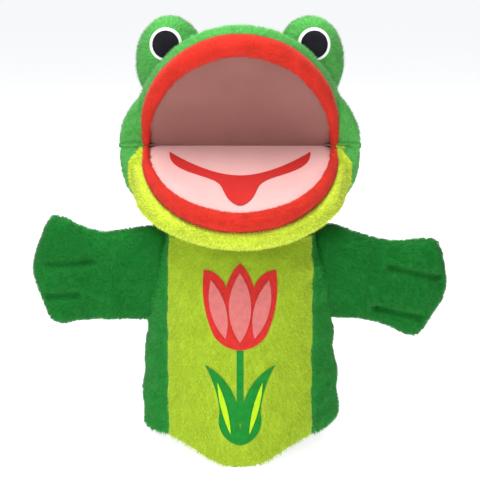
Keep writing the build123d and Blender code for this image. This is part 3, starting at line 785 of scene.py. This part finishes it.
def palate_crease():
    """The narrow strip of cloth sewn along the fold between the two palates, in the upper palate's dark cloth:
    painted shade along the fold.
    """
    rows, cols, radius = 60, 14, 0.55 * MM
    reach = LIP_OVAL[True][0] - 1 * MM
    around = np.arange(cols) / cols * 2 * math.pi
    x, phi = np.meshgrid(np.linspace(-1, 1, rows) * reach, around, indexing="ij")
    y, z = FOLD[1] + radius * np.cos(phi), FOLD[2] + radius * np.sin(phi)
    points = np.stack([x, y, z], -1).reshape(-1, 3)
    faces = outward(points, grid_faces(rows, cols, True), points * [1, 0, 0] + [0, FOLD[1], FOLD[2]])
    all_faces = [tuple(f) for f in faces] + end_loops(rows, cols)
    # its dark colour is painted shade, so that the fold reads as a shadowed line
    piece = mesh_object("palate_crease_cloth", points, all_faces, SHADED_PALATE)
    fasten([piece], "head")
    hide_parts("palate_fold_strip")


# ---- Eyes ------------------------------------------------
MOUND_HALF = np.array([19.0, 15.5, 24.5]) * MM     # half the size of an eye mound, pile and all
PUPIL_SPREAD = 0.4 * MM                # the pupil's threads reach past its CAD disc by this
WHITE_LIFT, PUPIL_LIFT = 0.25 * MM, 1.1 * MM       # how far the two discs stand out from the mound
THREAD_GAP, THREAD_HEIGHT, OUTWARD_THREADS = 0.55 * MM, 0.09 * MM, 110


def node_middle(node):
    """The middle of a CAD node's box, and half its size."""
    low, high = (np.array(corner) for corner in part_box(node))
    return (low + high) / 2, (high - low) / 2


def eye(side):
    """An eye mound, its white and its pupil."""
    centre, cad_half = node_middle(f"{side}_eye_mound")
    centre[2] += cad_half[2] - MOUND_HALF[2]
    rows, cols = 48, 72
    polar = np.linspace(0.02, math.pi - 0.02, rows)[:, None]
    around = (np.arange(cols) / cols * 2 * math.pi)[None, :]
    level = np.sin(polar)
    unit = np.stack([level * np.cos(around), level * np.sin(around), np.cos(polar) + 0 * around], -1)
    points = (centre + unit * (MOUND_HALF - 0.6 * MM)).reshape(-1, 3)
    faces = grid_faces(rows, cols, True)[:, ::-1]
    points = wave_push(points, faces, 30 * MM, 14, 0.4 * MM)
    all_faces = [tuple(f) for f in faces] + end_loops(rows, cols)
    skin = mesh_object(f"{side}_eye_mound_plush", points, all_faces, GREEN["skin"])
    sight, white_half = node_middle(f"{side}_eye_white")
    pupil_radius = node_middle(f"{side}_eye_pupil")[1][0] + PUPIL_SPREAD

    def around_eye(roots):
        off = np.hypot(roots[:, 0] - sight[0], roots[:, 2] - sight[2])
        return (off > white_half[0] + 0.1 * MM) | (roots[:, 1] > centre[1])

    def nap(roots, up):
        return np.stack([roots[:, 0] - sight[0], np.full(len(roots), 0.3 * MM), roots[:, 2] - sight[2]], 1)

    fur = pile(f"{side}_eye_mound_pile", points, faces, GREEN["pile"], nap, PILE_DENSITY * 1.2, 2.0 * MM,
               keep=around_eye)
    fasten((skin, fur), "upper_jaw")
    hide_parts(f"{side}_eye_mound")
    for part, radius, lift, thread in (
        ("white", white_half[0], WHITE_LIFT, WHITE_THREAD), ("pupil", pupil_radius, PUPIL_LIFT, BLACK_THREAD)
    ):
        disc = stitched_disc(f"{side}_eye_{part}_stitching", part, sight, radius, centre, lift, thread)
        fasten([disc], "upper_jaw")
        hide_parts(f"{side}_eye_{part}")


def stitched_disc(name, part, sight, radius, centre, lift, thread):
    """A satin-stitched disc that follows the eye mound. Its raised threads run outward on the white of the
    eye, and straight across the pupil."""
    rows, cols = 26, 240
    shares = np.linspace(0.02, 1.0, rows)[:, None]
    around = (np.arange(cols) / cols * 2 * math.pi)[None, :]
    x = sight[0] + radius * shares * np.cos(around)
    z = sight[2] + radius * shares * np.sin(around)
    half_x, half_y, half_z = MOUND_HALF
    depth = np.clip(1 - ((x - centre[0]) / half_x) ** 2 - ((z - centre[2]) / half_z) ** 2, 0.0, 1)
    surface = centre[1] - half_y * np.sqrt(depth)
    if part == "white":
        threads = np.sin(around * OUTWARD_THREADS) * smooth_step(0.5, 0.8, shares)
    else:
        threads = np.sin((x * 0.94 + z * 0.34) * 2 * math.pi / THREAD_GAP)
    crown = 1.0 * MM * np.sqrt(np.clip(1 - shares**8, 0, 1))
    front = surface - lift - crown - threads * THREAD_HEIGHT
    back = surface - lift + 0.6 * MM
    points = np.concatenate([np.stack([x, y, z], -1).reshape(-1, 3) for y in (front, back)])
    top = grid_faces(rows, cols, True)
    bottom = top[:, ::-1] + rows * cols
    edge = (rows - 1) * cols + np.arange(cols)
    following = (rows - 1) * cols + (np.arange(cols) + 1) % cols
    rim = np.stack([edge, following, following + rows * cols, edge + rows * cols], 1)
    ends = [list(range(cols))[::-1], [rows * cols + i for i in range(cols)]]
    faces = [tuple(f) for f in np.concatenate([top, bottom, rim])] + ends
    return mesh_object(name, points, faces, thread)


# ---- Neck ------------------------------------------------
def neck_tube(name, inset, heights, plush):
    """A tube of plush between two heights."""
    rows, cols = 12, 120
    angles = np.arange(cols) / cols * 2 * math.pi
    half_x, half_y = NECK_OVAL[0] - inset, NECK_OVAL[1] - inset
    grid = []
    for z in np.linspace(*heights, rows):
        grid.append(np.stack([half_x * np.sin(angles), -half_y * np.cos(angles), np.full(cols, z)], -1))
    points = np.array(grid).reshape(-1, 3)
    faces = grid_faces(rows, cols, True)
    skin = sheet(name, points, faces, plush["skin"], 1.5 * MM)
    fur = pile(f"{name}_pile", points, faces, plush["pile"], down, 1.2, 1.6 * MM)
    for piece in (skin, fur):
        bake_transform(piece)
    return skin


def neck():
    """The lower neck, from the neck's turn to just above the nod, and the upper neck above the nod."""
    low = neck_tube(
        "neck_lower_cloth", 1 * MM, (NECK_TURN_Z - 1.5 * MM, NECK_NOD_Z + 3 * MM), DEEP_GREEN,
    )
    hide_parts("neck_band")
    neck_tube(
        "neck_upper_cloth", 2 * MM, (NECK_NOD_Z, NECK_NOD_Z + 13 * MM), GREEN,
    )


# ---- Arms ------------------------------------------------
# Half outlines of the arms seen from the front, and their half depth: (from the shoulder hinge, height), mm
ARM_TOP = {
    "left": [
        (-24, 20), (-16, 27.5), (-10, 28.8), (-5, 28.6), (1, 27.4), (8, 26.0), (16, 24.8), (27.8, 24.6),
        (36, 26.0), (45, 28.0), (51, 27.0), (56, 17.0), (59, 7.0), (60, 1.8),
    ],
    "right": [
        (-24, 19), (-16, 26.5), (-10, 28.0), (-5, 28.0), (1, 27.2), (8, 26.0), (16, 24.8), (27.8, 25.8),
        (36, 29.0), (44, 32.5), (49.5, 32.5), (55, 21.0), (59, 8.0), (60, 1.8),
    ],
}
ARM_BOTTOM = {
    "left": [
        (-24, -10), (-14, -21), (-4, -23.4), (6, -22.6), (16, -22.2), (27.8, -23.4), (36, -25.6),
        (44, -28.0), (49, -27.0), (55, -14.0), (59, -3.5), (60, 1.2),
    ],
    "right": [
        (-24, -10), (-14, -22), (-4, -24.8), (6, -25.0), (16, -25.4), (27.8, -25.8), (36, -26.6),
        (46, -28.0), (50.5, -25.0), (56, -11.0), (59, -2.0), (60, 1.2),
    ],
}
ARM_DEPTH = [
    (-24, 4.0), (-18, 9.0), (-12, 14.0), (-6, 12.4), (0, 10.6), (6, 9.8), (14, 9.8), (27.8, 8.2), (38, 9.8),
    (48, 8.6), (55, 6.2), (58.5, 4.2), (60, 0.3),
]
# Creases of each paw: (height, where it starts, where it ends), mm
CREASES = {"left": [(11.0, 22, 53), (-13.0, 17, 46)], "right": [(9.5, 22, 49), (-9.5, 30, 50)]}
BACK_CREASE = 0.25                # the creases are shallow behind, under the toe prints
CREASE_DEPTH, CREASE_WIDTH = 4.2 * MM, 2.3 * MM
FLAT_BACK = 22 * MM               # along the arm, where its back becomes flat, for the toe prints
ARM_START, JOIN, ARM_END = -23 * MM, 15 * MM, 60 * MM     # where the shoulder and paw pieces start and end


def smooth_curve(table, value):
    """A smooth curve through the table's points, in metres."""
    x, y = np.array(table).T * MM
    slopes = np.gradient(y, x)
    k = np.clip(np.searchsorted(x, value) - 1, 0, len(x) - 2)
    width = x[k + 1] - x[k]
    t = (value - x[k]) / width
    return (
        (2 * t**3 - 3 * t**2 + 1) * y[k] + (t**3 - 2 * t**2 + t) * width * slopes[k]
        + (-2 * t**3 + 3 * t**2) * y[k + 1] + (t**3 - t**2) * width * slopes[k + 1]
    )


def arm_points(side, u, around):
    """Points of an arm in its own level frame: (along u from the shoulder hinge, back, up)."""
    top, bottom, depth = (smooth_curve(t, u) for t in (ARM_TOP[side], ARM_BOTTOM[side], ARM_DEPTH))
    middle, half = (top + bottom) / 2, (top - bottom) / 2
    cosine, sine = np.cos(around), np.sin(around)
    tall = middle + half * np.sign(cosine) * np.abs(cosine) ** 0.9
    deep = depth * np.sign(sine) * np.abs(sine) ** 0.85
    return np.stack([u + 0 * around, deep, tall], -1)


def toe_creases(side, points):
    """How deep the stitched lines between the toes draw in the paw, from 0 to 1."""
    u, z = points[:, 0], points[:, 2]
    depth = np.zeros(len(points))
    for height, start, stop in CREASES[side]:
        line = height * MM - (u - start * MM) * 0.08
        along = smooth_step(start * MM, (start + 6) * MM, u) * smooth_step((stop + 6) * MM, stop * MM, u)
        depth += np.exp(-(((z - line) / CREASE_WIDTH) ** 2)) * along
    return depth


def soft_arm(side, begin, stop, rows, around):
    """One length of an arm in its own frame, with its toe creases and soft folds."""
    u, phi = np.meshgrid(np.linspace(begin, stop, rows), around, indexing="ij")
    local = arm_points(side, u, phi).reshape(-1, 3)
    u, depth = local[:, 0], local[:, 1]
    creases = toe_creases(side, local) * np.where(depth > 0, BACK_CREASE, 1.0)
    local[:, 1] = depth - np.sign(depth) * np.minimum(creases * CREASE_DEPTH, np.abs(depth) * 0.62)
    folds = waves(local * [1, 1, 0.7], 34 * MM, 31 if side == "left" else 32) * 1.3 * MM
    fade = smooth_step(-12 * MM, 0, u) * smooth_step(60 * MM, 50 * MM, u)
    flat = (local[:, 1] > 0) & (u > FLAT_BACK)
    thick = smooth_step(0, 4 * MM, np.abs(local[:, 1]))
    local[:, 1] += np.sign(local[:, 1]) * folds * fade * np.where(flat, 0.0, 1.0) * thick
    return local


def arm(side):
    """An arm in two lengths: one from the shoulder, and one out to the paw."""
    sign = 1 if side == "left" else -1
    hinge = np.array(JOINTS[f"{side}_shoulder_hinge"]["pos_m"])
    wrist = np.array(JOINTS[f"{side}_wrist_hinge"]["pos_m"])
    axis = np.array(JOINTS[f"{side}_shoulder_hinge"]["axis"])
    axis = axis * np.sign(axis[2])
    out = np.array([axis[2] * sign, 0, -axis[0] * sign])
    cols = 96
    around = np.arange(cols) / cols * 2 * math.pi

    def place(local):
        return hinge + local[:, :1] * out + local[:, 1:2] * np.array([0, 1, 0]) + local[:, 2:] * axis

    def nap(roots, up):
        return np.tile(out + np.array([0, 0, -0.5]), (len(roots), 1))

    def lengths(roots):
        local_roots = np.stack([(roots - hinge) @ out, roots[:, 1], (roots - hinge) @ axis], 1)
        return (2.3 - 1.4 * np.minimum(1, toe_creases(side, local_roots))) * MM

    # Where each length begins and stops, its rows of points, its bodies, and where it bends, from and to
    spans = {
        "shoulder": (ARM_START, JOIN, 56, ("sleeve", f"{side}_arm"), hinge, (-8 * MM, 9 * MM)),
        "paw": (JOIN, ARM_END, 96, (f"{side}_arm", f"{side}_paw"), wrist, (-9 * MM, 8 * MM)),
    }
    clear = {"shoulder": None, "paw": clear_of(f"{side}_toe_prints", margin=1.2 * MM)}
    stands_for = {
        "shoulder": ("arm_front_panel", "arm_back_panel", "arm_filling", "shoulder_seam"),
        "paw": ("paw_front_panel", "paw_back_panel", "paw_filling"),
    }
    for part, (begin, stop, rows, bodies, bend, reach) in spans.items():
        local = soft_arm(side, begin, stop, rows, around)
        points = place(local)
        faces = outward(points, grid_faces(rows, cols, True), place(local * [1, 0, 0]))
        skin = sheet(f"{side}_{part}_plush", points, faces, DEEP_GREEN["skin"], 1.5 * MM)
        fur = pile(f"{side}_{part}_pile", points, faces, DEEP_GREEN["pile"], nap, PILE_DENSITY, lengths,
                   keep=clear[part])
        for piece in (skin, fur):
            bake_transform(piece)
        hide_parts(*(f"{side}_{node}" for node in stands_for[part]))


# ---- CAD nodes that stay ---------------------------------
def finish_nodes():
    """Gives each CAD node that stays its own procedural material."""
    lime_prints = ["leaf_vein_print", "back_stripe_prints", "head_stripe_prints"]
    lime_prints += ["left_toe_prints", "right_toe_prints"]
    kept = {
        RED_PRINT: ["flower_print"], PINK_PRINT: ["petal_print"], GREEN_PRINT: ["stem_print"],
        LIME_PRINT: lime_prints, TONGUE_PRINT: ["tongue_print"], LINING: ["finger_pocket", "thumb_pocket"],
        BOARD: ["upper_palate_board", "lower_palate_board"], FIBRE: ["left_eye_filling", "right_eye_filling"],
    }
    for material, names in kept.items():
        for name in names:
            mesh = NODES[name].data
            mesh.materials.clear()
            mesh.materials.append(material)


# ---- Stage -----------------------------------------------
def area_light(name, place, aim, size, power):
    """A square lamp at a place, turned to its aim."""
    data = bpy.data.lights.new(name, "AREA")
    data.size, data.energy = size, power
    lamp = bpy.data.objects.new(name, data)
    lamp.location = place
    lamp.rotation_euler = (Vector(aim) - Vector(place)).to_track_quat("-Z", "Y").to_euler()
    bpy.context.scene.collection.objects.link(lamp)


def stage():
    """A pale floor, and soft light from a studio that looks white to the camera."""
    size, depth = 30.0, -HEM_DIP - 0.4 * MM
    corners = [(-size, -size, depth), (size, -size, depth), (size, size, depth), (-size, size, depth)]
    paper = cloth_material("pale_floor", (0.90, 0.90, 0.90), (0.92, 0.92, 0.92), 4, 200, 0.02, 0.8, 0)
    glow = paper.node_tree.nodes["Principled BSDF"]
    glow.inputs["Emission Color"].default_value = (1, 1, 1, 1)
    glow.inputs["Emission Strength"].default_value = 0.6
    mesh_object("floor", corners, [(0, 1, 2, 3)], paper)
    world = bpy.data.worlds.new("studio")
    bpy.context.scene.world = world
    world.use_nodes = True
    nodes, links = world.node_tree.nodes, world.node_tree.links
    soft = nodes["Background"]
    soft.inputs["Color"].default_value = (0.95, 0.97, 1, 1)
    soft.inputs["Strength"].default_value = 0.38
    seen = nodes.new("ShaderNodeBackground")
    seen.inputs["Strength"].default_value = 0.97
    seen.inputs["Color"].default_value = (1, 1, 1, 1)
    path, mix = nodes.new("ShaderNodeLightPath"), nodes.new("ShaderNodeMixShader")
    links.new(path.outputs["Is Camera Ray"], mix.inputs[0])
    links.new(soft.outputs[0], mix.inputs[1])
    links.new(seen.outputs[0], mix.inputs[2])
    links.new(mix.outputs[0], nodes["World Output"].inputs["Surface"])
    middle = (0, 0, 0.13)
    area_light("top", (-0.1, -0.25, 1.15), middle, 0.7, 15)
    area_light("front", (-0.35, -1.25, 0.55), middle, 0.8, 9)
    area_light("back", (0.2, 0.9, 0.7), middle, 0.8, 7)


def camera():
    """A long lens a little above the puppet's front, looking slightly down."""
    data = bpy.data.cameras.new("camera")
    data.lens, data.sensor_width = 81.9, 36.0
    data.clip_start = 0.05
    look_down = math.radians(13.4)
    obj = bpy.data.objects.new("camera", data)
    obj.location = (0, -0.6, 0.255)
    obj.rotation_euler = (math.pi / 2 - look_down, 0, 0)
    bpy.context.scene.collection.objects.link(obj)
    bpy.context.scene.camera = obj


sleeve()
head()
jaw("snout", SNOUT_SIZE, True, "upper_jaw", GREEN, SNOUT_END)
jaw("chin", CHIN_SIZE, False, "lower_jaw", CHIN, CHIN_END)
lip("upper", True, "upper_jaw")
lip("lower", False, "lower_jaw")
palate("upper", True, "upper_jaw")
palate("lower", False, "lower_jaw")
palate_crease()
for side in ("left", "right"):
    eye(side)
    arm(side)
neck()
finish_nodes()
stage()
camera()
bpy.context.scene.view_settings.view_transform = "Standard"
